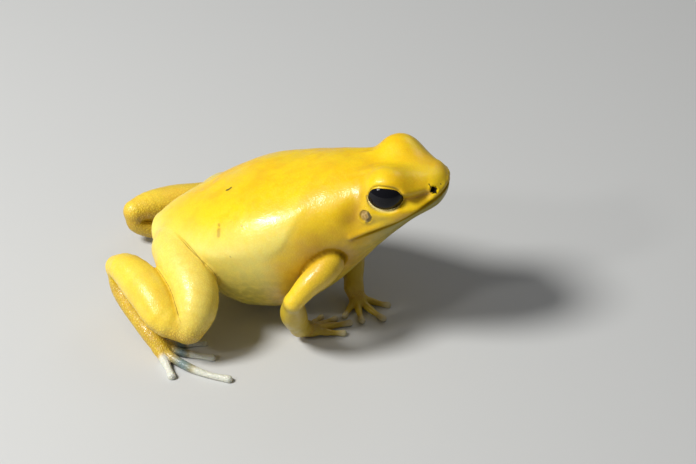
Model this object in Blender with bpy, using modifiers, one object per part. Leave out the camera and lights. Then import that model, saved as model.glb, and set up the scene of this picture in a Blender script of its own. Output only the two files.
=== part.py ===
"""Golden poison frog, life size, sitting on the floor. Millimetres here, metres in Blender.

The frog faces +X, its left side is +Y, and its hands and feet rest on z = 0.
Body and head are one loft of superellipse sections on an axis that rises from
the vent to the snout. Legs, arms, fingers and toes are tapering tubes. Each part
is its own closed shape, and a part that meets another is cut by that other grown
by GAP, so that they sit face to face.
"""
import math

import bmesh
import bpy
import numpy as np
from mathutils import Matrix, Vector

MM = 0.001
GAP = 0.3
SIDES = {"right": -1, "left": 1}
# Middle of the frog's box in plan, which is set on the origin at the end.
BOX_CENTRE = (1.4, -0.8)

# The body axis starts at the vent and rises to the snout tip.
AXIS_START = np.array((-16.0, 0.0, 8.6))
AXIS_PITCH = math.radians(22.7)
RUMP = 0.9
NECK = 31.0
TIP = 46.0
# Along the axis, half width, rise above it, drop below it, squareness above and below.
BODY_SECTIONS = np.array((
    (RUMP, 3.3, 2.7, 2.8, 2.0, 2.0),
    (3.5, 6.0, 3.8, 6.0, 2.1, 2.1),
    (8.0, 9.2, 4.7, 9.6, 2.2, 2.1),
    (13.0, 11.1, 5.8, 13.4, 2.2, 2.1),
    (19.0, 11.8, 6.6, 14.2, 2.2, 2.1),
    (25.0, 10.8, 6.4, 12.3, 2.2, 2.1),
    (30.0, 9.0, 6.3, 9.6, 2.2, 2.1),
    (34.0, 8.0, 5.6, 7.0, 2.3, 2.2),
    (38.0, 7.3, 4.6, 4.6, 2.6, 2.3),
    (41.5, 6.0, 3.8, 3.0, 2.6, 2.4),
    (44.2, 4.1, 2.5, 2.5, 2.4, 2.4),
    (45.5, 2.3, 1.4, 1.6, 2.2, 2.2),
    (TIP, 0.9, 0.6, 0.6, 2.0, 2.0),
))
RUMP_ROUND = 1.1
RUMP_ANGLES = (0.35, 0.7, 1.05, 1.35)
BODY_SIDES = 32
TORSO_RINGS = 20
HEAD_RINGS = 20
TRUNK_RINGS = 34

# Limbs, as points on the middle line with the radius there.
THIGHS = {
    "right": (
        (-11.6, -5.0, 10.0, 3.6), (-9.5, -9.0, 10.3, 3.5), (-6.6, -12.7, 9.4, 3.35),
        (-5.6, -15.3, 7.9, 3.0), (-6.1, -16.9, 5.7, 2.3),
    ),
    "left": (
        (-11.4, 5.0, 9.0, 3.2), (-10.8, 9.0, 8.4, 3.1), (-10.4, 13.0, 7.4, 3.2),
        (-10.4, 16.5, 6.2, 2.9), (-10.8, 18.3, 4.6, 2.3),
    ),
}
SHANKS = {
    "right": (
        (-6.6, -17.0, 5.7, 2.2), (-9.8, -16.5, 6.65, 2.8), (-12.2, -14.5, 7.9, 3.0),
        (-14.5, -12.5, 8.4, 2.95), (-17.2, -10.5, 8.8, 2.45), (-19.4, -8.8, 7.8, 1.7),
    ),
    "left": (
        (-11.2, 18.2, 4.5, 2.2), (-14.1, 16.2, 3.9, 2.7), (-17.4, 13.5, 4.5, 2.8),
        (-20.5, 10.6, 5.2, 2.35), (-22.4, 8.4, 5.4, 1.7),
    ),
}
TARSI = {
    "right": (
        (-19.5, -8.6, 7.4, 1.45), (-18.9, -9.6, 4.8, 1.3), (-17.0, -11.5, 3.6, 1.25),
        (-14.4, -14.0, 3.0, 1.25), (-12.0, -15.9, 2.1, 1.3), (-10.2, -17.0, 1.1, 1.2),
    ),
    "left": (
        (-22.4, 8.3, 5.0, 1.45), (-21.9, 7.9, 3.3, 1.3), (-19.3, 9.0, 2.0, 1.25),
        (-15.5, 11.5, 1.7, 1.3), (-12.5, 13.5, 1.1, 1.2),
    ),
}
UPPER_ARMS = {
    "right": (
        (11.9, -8.6, 15.0, 2.1), (11.2, -10.2, 14.2, 2.1), (9.7, -11.8, 12.9, 1.85),
        (8.0, -13.2, 10.6, 1.4),
    ),
    "left": (
        (12.4, 8.6, 14.8, 2.1), (12.2, 9.8, 13.6, 2.1), (11.6, 10.8, 11.6, 1.85),
        (10.8, 11.3, 9.2, 1.4),
    ),
}
FOREARMS = {
    "right": ((7.9, -13.0, 10.2, 1.4), (7.6, -11.0, 6.6, 1.9), (8.0, -8.4, 2.4, 1.3)),
    "left": ((10.8, 11.2, 8.9, 1.4), (12.0, 7.6, 5.6, 1.9), (13.4, 3.2, 2.3, 1.3)),
}
# Toes: base, heading at the base and at the tip, length, radius at the base and at the tip.
TOES = {
    "right": (
        ((-10.0, -15.9), 56, 44, 4.0, 0.60, 0.42),
        ((-10.0, -16.2), 32, 26, 5.8, 0.65, 0.45),
        ((-10.1, -16.6), -2, 8, 7.2, 0.70, 0.46),
        ((-10.3, -17.0), -36, 4, 11.6, 0.75, 0.50),
        ((-10.6, -17.4), -46, -58, 5.4, 0.75, 0.54),
    ),
    "left": (
        ((-12.4, 12.6), -40, -30, 4.0, 0.60, 0.42),
        ((-12.4, 12.9), -16, -12, 5.8, 0.65, 0.45),
        ((-12.4, 13.3), 8, 2, 7.6, 0.70, 0.46),
        ((-12.5, 13.7), 32, 10, 11.0, 0.75, 0.50),
        ((-12.8, 14.0), 58, 50, 5.8, 0.75, 0.54),
    ),
}
FINGERS = {
    "right": (
        ((9.0, -6.3), 84, 66, 3.6, 0.55, 0.42),
        ((9.2, -6.5), 58, 50, 4.8, 0.60, 0.44),
        ((9.3, -6.7), 42, 32, 6.2, 0.60, 0.46),
        ((9.3, -7.1), 22, 14, 4.9, 0.60, 0.44),
    ),
    "left": (
        ((14.0, 1.8), -110, -96, 3.4, 0.55, 0.42),
        ((14.2, 1.9), -70, -62, 4.2, 0.60, 0.44),
        ((14.4, 2.2), -36, -28, 5.2, 0.60, 0.46),
        ((14.4, 2.7), -2, 4, 4.4, 0.60, 0.44),
    ),
}
FOREFOOT_HEIGHT = 1.0
TIP_HEIGHT = 0.36
DIGIT_STEPS = 4
NECK_BEHIND_TIP = 0.9
PALM_RADIUS = 1.15
# How many rings and sides each kind of tube has, and where the rings of its round ends lie.
THIGH_RINGS, THIGH_SIDES = 16, 16
FOOT_RINGS, ARM_RINGS, FOREARM_RINGS, LIMB_SIDES = 14, 12, 10, 12
DIGIT_RINGS, DIGIT_SIDES = 7, 8
LIP_RINGS, GROOVE_RINGS, PALM_RINGS = 28, 6, 4
CAP_STEPS = (0.45, 0.8, 0.97)

# Eyes and the features of the head, on the body axis: along it, outward, above it.
EYE_CENTRE = (38.6, 4.85, 2.7)
EYE_RADIUS = 2.55
SOCKET_GAP = 0.15
LID_CENTRE = (38.75, 4.55, 2.65)
LID_RADIUS = 3.3
BROW_CENTRE = (37.8, 3.6, 1.9)
BROW_HALF_SIZE = (5.0, 3.3, 3.3)
OPENING_HALF_WIDTH = 2.4
OPENING_HALF_HEIGHT = 1.65
EYE_LOOK = Vector((0.2, 0.93, 0.3))
EYE_SEGMENTS = 20
MOUTH_BACK = (32.6, -2.3)
MOUTH_FRONT = (45.8, -0.9)
MOUTH_RADIUS = 0.24
LIP_RADIUS = 0.6
LIP_INSET = 0.42
LIP_RISE = 0.55
GROOVE_POINTS = ((41.3, 1.3), (42.6, 0.85), (44.0, 0.6))
GROOVE_RADIUS = 0.9
GROOVE_DEPTH = 0.45
NOSTRIL = (44.6, 0.6)
NOSTRIL_RADIUS = 0.3
NOSTRIL_DEPTH = 0.8
NOSTRIL_SEGMENTS = 10
EAR = (35.4, 0.7)
EAR_HALF_SIZE = (1.0, 0.35, 1.25)
EAR_SEGMENTS = 14

HEAD_OVERLAP = 3.0
HEAD_VOXEL = 0.3
HEAD_SMOOTHING = 8
HEAD_SHARE = 0.065
BLOCK = 40.0

SHARP_ANGLE = math.radians(50.0)
# Colour and roughness by the first word of a part's name. All other parts are golden skin.
GOLD_SKIN = ((0.95, 0.68, 0.02), 0.35)
FINISHES = {
    "eye": ((0.01, 0.01, 0.012), 0.05),
    "hand": ((0.62, 0.60, 0.30), 0.35),
    "foot": ((0.80, 0.72, 0.22), 0.35),
}


def clear_scene():
    for obj in list(bpy.data.objects):
        bpy.data.objects.remove(obj, do_unlink=True)


def new_collection(name, is_hidden):
    collection = bpy.data.collections.new(name)
    collection.hide_render = is_hidden
    bpy.context.scene.collection.children.link(collection)
    return collection


def new_material(name, colour, roughness):
    material = bpy.data.materials.new(name)
    material.use_nodes = True
    shader = material.node_tree.nodes["Principled BSDF"]
    shader.inputs["Base Color"].default_value = (*colour, 1.0)
    shader.inputs["Roughness"].default_value = roughness
    return material


def smooth_curve(values, stations, wanted):
    """Monotone cubic through the values at the stations."""
    steps = np.diff(stations)
    slopes = np.diff(values) / steps
    tangents = np.zeros(len(values))
    tangents[0], tangents[-1] = slopes[0], slopes[-1]
    for i in range(1, len(values) - 1):
        if slopes[i - 1] * slopes[i] > 0:
            before, after = 2 * steps[i] + steps[i - 1], steps[i] + 2 * steps[i - 1]
            tangents[i] = (before + after) / (before / slopes[i - 1] + after / slopes[i])
    i = np.clip(np.searchsorted(stations, wanted, side="right") - 1, 0, len(steps) - 1)
    t = (wanted - stations[i]) / steps[i]
    rise, fall = t * t * (3 - 2 * t), t * (1 - t)
    return (values[i] * (1 - rise) + values[i + 1] * rise
            + steps[i] * fall * ((1 - t) * tangents[i] - t * tangents[i + 1]))


def axis_to_world(points):
    """Points given along, outward and above the body axis, in world millimetres."""
    points = np.asarray(points, float)
    cos, sin = math.cos(AXIS_PITCH), math.sin(AXIS_PITCH)
    x = AXIS_START[0] + cos * points[..., 0] - sin * points[..., 2]
    z = AXIS_START[2] + sin * points[..., 0] + cos * points[..., 2]
    return np.stack((x, points[..., 1], z), axis=-1)


def body_section(along, grow=0.0):
    """Half width, rise, drop and the two squarenesses of the section at a place on the axis."""
    stations = BODY_SECTIONS[:, 0]
    half_width, rise, drop, above, below = (
        smooth_curve(BODY_SECTIONS[:, k], stations, along) for k in range(1, 6)
    )
    return half_width + grow, rise + grow, drop + grow, above, below


def body_half_width(along, height):
    """How far out the skin lies at a place along the axis and a height above it."""
    half_width, rise, drop, above, below = body_section(along)
    reach, power = (rise, above) if height > 0 else (drop, below)
    return half_width * (1 - min(abs(height) / reach, 1) ** power) ** (1 / power)


def mesh_object(name, points, faces, collection):
    mesh = bpy.data.meshes.new(name)
    mesh.from_pydata([tuple(p * MM) for p in points], [], faces)
    obj = bpy.data.objects.new(name, mesh)
    collection.objects.link(obj)
    tidy_normals(obj)
    return obj


def tidy_normals(obj):
    cage = bmesh.new()
    cage.from_mesh(obj.data)
    bmesh.ops.remove_doubles(cage, verts=cage.verts, dist=1e-6)
    bmesh.ops.recalc_face_normals(cage, faces=cage.faces)
    cage.to_mesh(obj.data)
    cage.free()


def body_loft(name, start, end, rings, collection, grow=0.0):
    """The body between two places on its axis, closed at both ends."""
    stops = 0.5 - 0.5 * np.cos(np.linspace(0, math.pi, rings))
    alongs = start + (end - start) * stops
    turn = np.linspace(0, 2 * math.pi, BODY_SIDES, endpoint=False)
    cos, sin = np.cos(turn), np.sin(turn)
    sections = []
    for along in alongs:
        half_width, rise, drop, above, below = body_section(along, grow)
        power = 2 / np.where(sin > 0, above, below)
        out = half_width * np.sign(cos) * np.abs(cos) ** power
        up = np.where(sin > 0, rise, drop) * np.sign(sin) * np.abs(sin) ** power
        sections.append(np.stack((np.full(BODY_SIDES, along), out, up), axis=-1))
    if start == RUMP:
        rump = sections[0]
        for angle in RUMP_ANGLES:
            ring = rump.copy()
            ring[:, 1:] *= math.cos(angle)
            ring[:, 0] -= (RUMP_ROUND + grow) * math.sin(angle)
            sections.insert(0, ring)
    return ring_loft(name, axis_to_world(np.array(sections)), collection)


def ring_loft(name, rings, collection):
    """Quads from ring to ring, with a flat face over each end."""
    count, sides = rings.shape[:2]
    faces = []
    for a in range(count - 1):
        here, there = a * sides, (a + 1) * sides
        for b in range(sides):
            c = (b + 1) % sides
            faces.append((here + b, here + c, there + c, there + b))
    faces += [tuple(range(sides)), tuple(range((count - 1) * sides, count * sides))]
    return mesh_object(name, rings.reshape(-1, 3), faces, collection)


def smooth_path(points, count):
    """A Catmull-Rom run through the points, radius included."""
    points = np.asarray(points, float)
    padded = np.vstack((2 * points[0] - points[1], points, 2 * points[-1] - points[-2]))
    place = np.linspace(0, len(points) - 1, count)
    i = np.minimum(place.astype(int), len(points) - 2)
    t = (place - i)[:, None]
    before, here, there, after = (padded[i + k] for k in range(4))
    return 0.5 * (
        2 * here + (there - before) * t + (2 * before - 5 * here + 4 * there - after) * t ** 2
        + (3 * here - before - 3 * there + after) * t ** 3
    )


def round_end(end, before):
    """Points that close a tube's end with a half ball, from the end outward."""
    outward = (end[:3] - before[:3]) / np.linalg.norm(end[:3] - before[:3])
    radius = end[3]
    return [
        (*(end[:3] + outward * radius * step), radius * math.sqrt(1 - step * step))
        for step in CAP_STEPS
    ]


def tube(name, points, rings, collection, grow=0.0, sides=LIMB_SIDES):
    """A round-ended tube along the points, each x, y, z and radius, from a bevelled curve."""
    path = smooth_path(points, rings)
    path[:, 3] += grow
    path = np.vstack((round_end(path[0], path[1])[::-1], path, round_end(path[-1], path[-2])))
    curve = bpy.data.curves.new(name, "CURVE")
    curve.dimensions = "3D"
    curve.bevel_depth = MM
    curve.bevel_resolution = sides // 2 - 2
    curve.use_fill_caps = True
    spline = curve.splines.new("POLY")
    spline.points.add(len(path) - 1)
    for point, (x, y, z, radius) in zip(spline.points, path):
        point.co = (x * MM, y * MM, z * MM, 1.0)
        point.radius = radius
    swept = bpy.data.objects.new(name + "_curve", curve)
    collection.objects.link(swept)
    bpy.context.view_layer.update()
    graph = bpy.context.evaluated_depsgraph_get()
    mesh = bpy.data.meshes.new_from_object(swept.evaluated_get(graph))
    bpy.data.objects.remove(swept, do_unlink=True)
    obj = bpy.data.objects.new(name, mesh)
    collection.objects.link(obj)
    tidy_normals(obj)
    return obj


def placed(centre, turn, size):
    """The matrix that scales by size, turns, and then moves to the centre."""
    scale = Matrix.Diagonal((*(side * MM for side in size), 1.0))
    return Matrix.Translation(Vector(centre) * MM) @ turn.to_4x4() @ scale


def object_from(cage, name, collection):
    mesh = bpy.data.meshes.new(name)
    cage.to_mesh(mesh)
    cage.free()
    obj = bpy.data.objects.new(name, mesh)
    collection.objects.link(obj)
    return obj


def ball(name, centre, radii, collection, turn=Matrix.Identity(3), segments=EYE_SEGMENTS):
    """A sphere stretched to the three radii, then turned."""
    cage = bmesh.new()
    bmesh.ops.create_uvsphere(
        cage, u_segments=segments, v_segments=segments // 2 + 2, radius=1.0,
        matrix=placed(centre, turn, radii),
    )
    return object_from(cage, name, collection)


def block(name, centre, size, collection, turn=Matrix.Identity(3)):
    """A box, turned and then set at its centre."""
    cage = bmesh.new()
    bmesh.ops.create_cube(cage, size=1.0, matrix=placed(centre, turn, size))
    return object_from(cage, name, collection)


def combine(target, tool, operation):
    """One Boolean step, applied at once."""
    step = target.modifiers.new(operation.lower(), "BOOLEAN")
    step.operation = operation
    step.solver = "EXACT"
    step.object = tool
    bpy.context.view_layer.update()
    graph = bpy.context.evaluated_depsgraph_get()
    result = bpy.data.meshes.new_from_object(target.evaluated_get(graph))
    target.modifiers.remove(step)
    target.data = result


def join(target, pieces):
    for piece in pieces:
        combine(target, piece, "UNION")
        bpy.data.objects.remove(piece, do_unlink=True)


def cut(target, cutters):
    for cutter in cutters:
        combine(target, cutter, "DIFFERENCE")


def digit_path(base, heading, end_heading, length, radius, end_radius):
    """A finger or toe that leaves its base at one heading and ends at another, down to its tip."""
    x, y = base
    points = [(x, y, FOREFOOT_HEIGHT, radius)]
    stride = length / DIGIT_STEPS
    for k in range(1, DIGIT_STEPS + 1):
        share = k / DIGIT_STEPS
        angle = math.radians(heading + (end_heading - heading) * (share - 0.5 / DIGIT_STEPS))
        x += stride * math.cos(angle)
        y += stride * math.sin(angle)
        height = TIP_HEIGHT + (FOREFOOT_HEIGHT - TIP_HEIGHT) * (1 - share) ** 1.5
        width = radius + (end_radius - radius) * min(1.6 * share, 1.0)
        if k == DIGIT_STEPS - 1:
            width *= NECK_BEHIND_TIP
        points.append((x, y, height, width))
    return points


def soften(obj, voxel, repeats, share):
    """One blended skin over the joined pieces, with faces left out where it is plain."""
    remesh = obj.modifiers.new("blend", "REMESH")
    remesh.mode = "VOXEL"
    remesh.voxel_size = voxel * MM
    smooth = obj.modifiers.new("smooth", "SMOOTH")
    smooth.factor = 0.5
    smooth.iterations = repeats
    thin = obj.modifiers.new("thin", "DECIMATE")
    thin.ratio = share
    bpy.context.view_layer.update()
    graph = bpy.context.evaluated_depsgraph_get()
    result = bpy.data.meshes.new_from_object(obj.evaluated_get(graph))
    obj.modifiers.clear()
    obj.data = result


def eye_frame(side):
    """Axes of the eye opening in the world: along the slit, across it, and out of it."""
    out = Vector((EYE_LOOK.x, EYE_LOOK.y * side, EYE_LOOK.z)).normalized()
    slit = Vector((1, 0, -0.06))
    slit = (slit - out * slit.dot(out)).normalized()
    return Matrix((slit, out.cross(slit), out)).transposed()


def lid_bulges(side, cutters):
    """The raised lid over one eye and the brow that carries it."""
    mirror = np.array((1, side, 1))
    lean = Matrix.Rotation(-AXIS_PITCH, 3, "Y")
    return [
        ball("brow", axis_to_world(mirror * BROW_CENTRE), BROW_HALF_SIZE, cutters, lean),
        ball("lid", axis_to_world(mirror * LID_CENTRE), [LID_RADIUS] * 3, cutters),
    ]


def head_openings(side, cutters):
    """Socket, slit between the lids, nostril and ear of one side."""
    centre = axis_to_world(np.array((1, side, 1)) * EYE_CENTRE)
    frame = eye_frame(side)
    lean = Matrix.Rotation(-AXIS_PITCH, 3, "Y")
    return [
        ball("socket", centre, [EYE_RADIUS + SOCKET_GAP] * 3, cutters),
        ball(
            "slit", Vector(centre) + frame.col[2] * EYE_RADIUS,
            (OPENING_HALF_WIDTH, OPENING_HALF_HEIGHT, 2 * EYE_RADIUS), cutters, frame,
        ),
        ball(
            "nostril", axis_to_world((NOSTRIL[0], side * body_half_width(*NOSTRIL), NOSTRIL[1])),
            (NOSTRIL_RADIUS, NOSTRIL_DEPTH, NOSTRIL_RADIUS), cutters, segments=NOSTRIL_SEGMENTS,
        ),
        ball(
            "ear", axis_to_world((EAR[0], side * body_half_width(*EAR), EAR[1])),
            EAR_HALF_SIZE, cutters, lean, segments=EAR_SEGMENTS,
        ),
    ]


def groove_points(side):
    """The hollow between eye and nostril: a row of points just outside the skin."""
    out = GROOVE_RADIUS - GROOVE_DEPTH
    return [
        (*axis_to_world((along, side * (body_half_width(along, height) + out), height)), GROOVE_RADIUS)
        for along, height in GROOVE_POINTS
    ]


def mouth_points(lift, inset, radius, count=21):
    """A row of points round the jaw, on the mouth line raised by lift and sunk by inset."""
    (back, low), (front, high) = MOUTH_BACK, MOUTH_FRONT
    share = np.linspace(-1, 1, count)
    along = back + (front - back) * np.sin(0.5 * math.pi * (1 - np.abs(share)))
    height = low + (high - low) * (along - back) / (front - back) + lift
    out = np.sign(share) * [body_half_width(*place) for place in zip(along, height)]
    run = np.stack((np.gradient(along), np.gradient(out)))
    run /= np.linalg.norm(run, axis=0)
    row = axis_to_world(np.stack((along - inset * run[1], out + inset * run[0], height), axis=-1))
    return [(*point, radius) for point in row]


def build_head(cutters, parts):
    """The head with its lids, lips, mouth line, nostrils and ears, cut off square at the neck."""
    head = body_loft("head", NECK - HEAD_OVERLAP, TIP, HEAD_RINGS, parts)
    lips = tube(
        "upper_lip", mouth_points(LIP_RISE, LIP_INSET, LIP_RADIUS), LIP_RINGS, cutters,
        sides=DIGIT_SIDES,
    )
    join(head, [lips])
    for side in SIDES.values():
        join(head, lid_bulges(side, cutters))
    for side in SIDES.values():
        groove = groove_points(side)
        cut(head, [tube("groove", groove, GROOVE_RINGS, cutters, sides=DIGIT_SIDES)])
    soften(head, HEAD_VOXEL, HEAD_SMOOTHING, HEAD_SHARE)
    behind = axis_to_world((NECK + GAP / 2 - BLOCK / 2, 0, 0))
    cut(head, [
        block("neck_cut", behind, [BLOCK] * 3, cutters, Matrix.Rotation(-AXIS_PITCH, 3, "Y")),
        tube("mouth_line", mouth_points(0.0, 0.0, MOUTH_RADIUS), LIP_RINGS, cutters, sides=6),
    ])
    for side in SIDES.values():
        cut(head, head_openings(side, cutters))


def build_eyes(parts):
    for name, side in SIDES.items():
        centre = axis_to_world(np.array((1, side, 1)) * EYE_CENTRE)
        ball("eye_" + name, centre, [EYE_RADIUS] * 3, parts)


def build_arm(side, trunk, floor, cutters, parts):
    """Upper arm, forearm and hand of one side, each cut clear of the one before it."""
    upper_arm = tube("upper_arm_" + side, UPPER_ARMS[side], ARM_RINGS, parts)
    cut(upper_arm, [trunk])
    elbow = tube("elbow_" + side, UPPER_ARMS[side], ARM_RINGS, cutters, GAP)
    forearm = tube("forearm_" + side, FOREARMS[side], FOREARM_RINGS, parts)
    cut(forearm, [elbow, trunk])
    wrist = tube("wrist_" + side, FOREARMS[side], FOREARM_RINGS, cutters, GAP)
    x, y = np.mean([finger[0] for finger in FINGERS[side]], axis=0)
    palm = (FOREARMS[side][-1], (x, y, FOREFOOT_HEIGHT, PALM_RADIUS))
    hand = tube("hand_" + side, palm, PALM_RINGS, parts)
    for finger in FINGERS[side]:
        join(hand, [tube("finger", digit_path(*finger), DIGIT_RINGS, parts, sides=DIGIT_SIDES)])
    cut(hand, [wrist, floor])


def build_leg(side, trunk, floor, cutters, parts):
    """Thigh, shank and foot of one side. The foot runs from the heel to the tips of the toes."""
    thigh = tube("thigh_" + side, THIGHS[side], THIGH_RINGS, parts, sides=THIGH_SIDES)
    cut(thigh, [trunk])
    knee = tube("knee_" + side, THIGHS[side], THIGH_RINGS, cutters, GAP, sides=THIGH_SIDES)
    shank = tube("shank_" + side, SHANKS[side], THIGH_RINGS, parts, sides=THIGH_SIDES)
    cut(shank, [knee, trunk])
    heel = tube("heel_" + side, SHANKS[side], THIGH_RINGS, cutters, GAP, sides=THIGH_SIDES)
    foot = tube("foot_" + side, TARSI[side], FOOT_RINGS, parts)
    for toe in TOES[side]:
        join(foot, [tube("toe", digit_path(*toe), DIGIT_RINGS, parts, sides=DIGIT_SIDES)])
    cut(foot, [heel, knee, floor])


def set_on_origin(parts):
    """Slides the frog sideways so that the middle of its box stands on the origin."""
    slide = Matrix.Translation((-BOX_CENTRE[0] * MM, -BOX_CENTRE[1] * MM, 0.0))
    for obj in parts.objects:
        obj.data.transform(slide)


def finish_surfaces(parts):
    """Smooth shading with sharp rims, and a material of its own for each part."""
    for obj in parts.objects:
        obj.data.shade_smooth()
        obj.data.set_sharp_from_angle(angle=SHARP_ANGLE)
        kind = obj.name.split("_")[0]
        obj.data.materials.clear()
        obj.data.materials.append(new_material(obj.name, *FINISHES.get(kind, GOLD_SKIN)))


def main():
    clear_scene()
    parts = new_collection("golden_poison_frog", is_hidden=False)
    cutters = new_collection("cutters", is_hidden=True)
    floor = block("below_floor", (0, 0, -BLOCK / 2), (3 * BLOCK, 3 * BLOCK, BLOCK), cutters)
    trunk = body_loft("trunk", RUMP, TIP, TRUNK_RINGS, cutters, GAP)
    body_loft("torso", RUMP, NECK - GAP / 2, TORSO_RINGS, parts)
    build_head(cutters, parts)
    build_eyes(parts)
    for side in SIDES:
        build_arm(side, trunk, floor, cutters, parts)
        build_leg(side, trunk, floor, cutters, parts)
    set_on_origin(parts)
    finish_surfaces(parts)
    for obj in cutters.objects:
        obj.hide_render = True
        obj.display_type = "WIRE"


main()
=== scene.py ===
import math

import bmesh
import bpy
import numpy as np
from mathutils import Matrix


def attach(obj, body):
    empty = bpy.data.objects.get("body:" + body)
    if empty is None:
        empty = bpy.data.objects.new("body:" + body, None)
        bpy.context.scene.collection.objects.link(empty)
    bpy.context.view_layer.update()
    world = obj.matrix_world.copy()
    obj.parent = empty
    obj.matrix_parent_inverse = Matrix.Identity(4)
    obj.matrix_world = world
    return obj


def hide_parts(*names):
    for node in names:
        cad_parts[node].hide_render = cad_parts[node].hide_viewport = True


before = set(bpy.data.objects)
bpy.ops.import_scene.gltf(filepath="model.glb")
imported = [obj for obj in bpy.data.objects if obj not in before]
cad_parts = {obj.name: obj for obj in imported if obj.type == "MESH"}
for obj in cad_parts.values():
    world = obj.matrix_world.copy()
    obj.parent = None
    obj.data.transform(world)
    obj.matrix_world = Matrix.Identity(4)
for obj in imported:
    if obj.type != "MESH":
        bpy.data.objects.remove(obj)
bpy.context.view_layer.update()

import openvdb
from mathutils import Matrix, Vector

MM = 0.001


# The view. The frog is seen from its right, a little from the front and well from above, through
# a long lens that stands about 28 cm away, so that the snout points to the picture's right.
CAMERA_PLACE = (53.8, -220.6, 177.8)
CAMERA_AIM = (10.6, 4.2, 12.0)
CAMERA_ROLL = math.radians(3.34)
CAMERA_LENS = 99.9


def add_object(name, data):
    """An object that holds this data, put into the scene at the origin."""
    made = bpy.data.objects.new(name, data)
    bpy.context.scene.collection.objects.link(made)
    return made


def set_camera(place, aim, roll, lens):
    """A camera at place that looks at aim and is then rolled to the left about its own axis."""
    data = bpy.data.cameras.new("view")
    data.lens = lens
    data.sensor_width = 36.0
    data.clip_start = 0.01
    data.clip_end = 10.0
    camera = add_object("view", data)
    gaze = Vector(aim) - Vector(place)
    turn = gaze.to_track_quat("-Z", "Y").to_matrix() @ Matrix.Rotation(roll, 3, "Z")
    camera.matrix_world = Matrix.Translation(Vector(place) * MM) @ turn.to_4x4()
    bpy.context.scene.camera = camera


set_camera(CAMERA_PLACE, CAMERA_AIM, CAMERA_ROLL, CAMERA_LENS)


# The trunk: belly, back and head are soft flesh in one bag of smooth skin, widest behind the
# ribs. It is made as superellipse sections along an axis that rises from vent to snout.
AXIS_START = np.array((-17.4, 0.8, 8.6))
AXIS_PITCH = math.radians(22.7)
RUMP = 0.9
RUMP_ROUND = 1.1
TIP = 46.0
# Place along the axis, half width, height above and depth below it, and the power of each half.
TRUNK_SECTIONS = np.array((
    (RUMP, 3.3, 2.7, 2.8, 2.0, 2.0),
    (3.5, 6.0, 3.8, 6.0, 2.1, 2.1),
    (8.0, 9.2, 4.7, 9.6, 2.2, 2.1),
    (13.0, 11.1, 5.8, 13.4, 2.2, 2.1),
    (19.0, 11.8, 6.6, 14.2, 2.2, 2.1),
    (25.0, 10.8, 6.4, 12.3, 2.2, 2.1),
    (30.0, 9.0, 6.3, 9.6, 2.2, 2.1),
    (34.0, 8.0, 5.6, 7.0, 2.3, 2.2),
    (38.0, 7.3, 4.6, 4.6, 2.6, 2.3),
    (41.5, 6.0, 3.8, 3.0, 2.6, 2.4),
    (44.2, 4.1, 2.5, 2.5, 2.4, 2.4),
    (45.5, 2.3, 1.4, 1.6, 2.2, 2.2),
    (TIP, 0.9, 0.6, 0.6, 2.0, 2.0),
))
PROFILE_STEPS = 600
SNOUT_START, SNOUT_MIDDLE, SNOUT_END = 44.2, 42.2, 46.05
LEAST_SIZE = 0.2
END_GAP = 0.1
END_JOINT = 0.4


def smooth_curve(values, stations, wanted):
    """Cubic pieces through the values, whose slope at each value is the weighted harmonic mean of
    the slopes beside it, or level where those point opposite ways."""
    steps = np.diff(stations)
    slopes = np.diff(values) / steps
    tangents = np.zeros(len(values))
    tangents[0], tangents[-1] = slopes[0], slopes[-1]
    same_way = slopes[:-1] * slopes[1:] > 0
    before, after = 2 * steps[1:] + steps[:-1], steps[1:] + 2 * steps[:-1]
    safe = np.where(same_way, slopes[:-1], 1.0), np.where(same_way, slopes[1:], 1.0)
    mean = (before + after) / (before / safe[0] + after / safe[1])
    tangents[1:-1] = np.where(same_way, mean, 0.0)
    i = np.clip(np.searchsorted(stations, wanted, side="right") - 1, 0, len(steps) - 1)
    t = (wanted - stations[i]) / steps[i]
    rise, fall = t * t * (3 - 2 * t), t * (1 - t)
    return (values[i] * (1 - rise) + values[i + 1] * rise
            + steps[i] * fall * ((1 - t) * tangents[i] - t * tangents[i + 1]))


PROFILE_PLACES = np.linspace(RUMP - RUMP_ROUND, TIP, PROFILE_STEPS)
PROFILE = [
    smooth_curve(TRUNK_SECTIONS[:, k], TRUNK_SECTIONS[:, 0], np.maximum(PROFILE_PLACES, RUMP))
    for k in range(1, 6)
]
# Both ends close as part of an ellipse: sizes shrink by the root of one less the share squared.
RUMP_SHARE = np.clip((RUMP - PROFILE_PLACES) / RUMP_ROUND, 0.0, 0.995)
SNOUT_SHARE = (PROFILE_PLACES - SNOUT_MIDDLE) / (SNOUT_END - SNOUT_MIDDLE)
START_SHARE = (SNOUT_START - SNOUT_MIDDLE) / (SNOUT_END - SNOUT_MIDDLE)
SNOUT = PROFILE_PLACES > SNOUT_START
for size in PROFILE[:3]:
    size *= np.sqrt(1 - RUMP_SHARE ** 2)
    start = np.interp(SNOUT_START, PROFILE_PLACES, size)
    size[SNOUT] = start * np.sqrt((1 - SNOUT_SHARE[SNOUT] ** 2) / (1 - START_SHARE ** 2))


def to_axis(points):
    """Along the axis, outward to the frog's left, and above the axis, by turning world millimetres
    down through the axis's pitch about its start."""
    cos, sin = math.cos(AXIS_PITCH), math.sin(AXIS_PITCH)
    x, y, z = np.moveaxis(points - AXIS_START, -1, 0)
    return cos * x + sin * z, y, cos * z - sin * x


def from_axis(along, out, up):
    """World millimetres of a place along, outward from and above the axis: the turn undone."""
    cos, sin = math.cos(AXIS_PITCH), math.sin(AXIS_PITCH)
    along, out, up = np.broadcast_arrays(along, out, up)
    return AXIS_START + np.stack((cos * along - sin * up, out, sin * along + cos * up), axis=-1)


def smooth_min(first, second, width):
    """The lower of two distances, eased by a parabola where they differ by less than width."""
    share = np.clip(0.5 + 0.5 * (second - first) / width, 0, 1)
    return second + (first - second) * share - width * share * (1 - share)


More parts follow.
